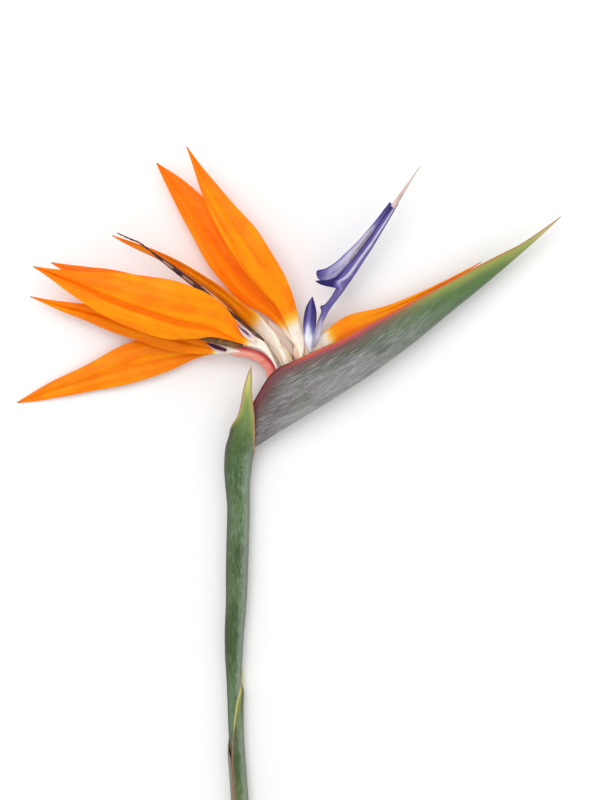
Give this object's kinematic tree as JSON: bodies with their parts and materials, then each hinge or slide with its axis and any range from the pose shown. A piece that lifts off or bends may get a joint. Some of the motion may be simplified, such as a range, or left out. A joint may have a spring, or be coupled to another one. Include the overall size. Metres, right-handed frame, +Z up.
{
  "type": "bird of paradise flower",
  "caption": "Cut bird of paradise flower lying on its side: orange sepals and a blue arrow-shaped tongue rising from a long boat-shaped spathe on a sheathed stem.",
  "frame": {"origin": "centre of the lying flower's plan, on the surface that it lies on", "axes": "+Z up from the surface; +Y along the stem, from its cut end towards the flower; the spathe points to +X and +Y"},
  "size_m": [0.2604, 0.3966, 0.0274],
  "materials": {
    "stem_green": "waxy green stem with a pale bloom",
    "bract_green": "satin green leaf sheath, yellow-green towards its point",
    "spathe_green": "satin grey-green with fine pale streaks and a red margin",
    "bracteole_mauve": "thin papery mauve",
    "claw_cream": "satin cream",
    "claw_salmon": "satin salmon pink",
    "sepal_orange": "satin orange with fine lengthwise veins",
    "petal_blue": "satin violet blue",
    "petal_lilac": "satin lilac",
    "style_tan": "matt tan pink",
    "anther_brown": "matt brown",
    "withered_brown": "dry dark purple-brown"
  },
  "bodies": {
    "root": {"peduncle": "stem_green", "lower_bract": "stem_green", "upper_bract": "bract_green", "spathe": "spathe_green", "bracteole": "bracteole_mauve", "claw_a": "claw_cream", "claw_b": "claw_cream", "claw_c": "claw_salmon", "sepal_a1": "sepal_orange", "sepal_a2": "sepal_orange", "sepal_a3": "sepal_orange", "sepal_b1": "sepal_orange", "sepal_b2": "sepal_orange", "sepal_b3": "sepal_orange", "sepal_c1": "sepal_orange", "sepal_c2": "sepal_orange", "sepal_c3": "sepal_orange", "arrow_near_a": "petal_blue", "arrow_far_a": "petal_blue", "nectary_petal_a": "petal_blue", "nectary_petal_b": "petal_lilac", "nectary_petal_c": "withered_brown", "style_a": "style_tan", "anthers_a": "anther_brown", "arrow_b": "withered_brown", "style_b": "withered_brown", "arrow_c": "withered_brown"}
  },
  "joints": []
}
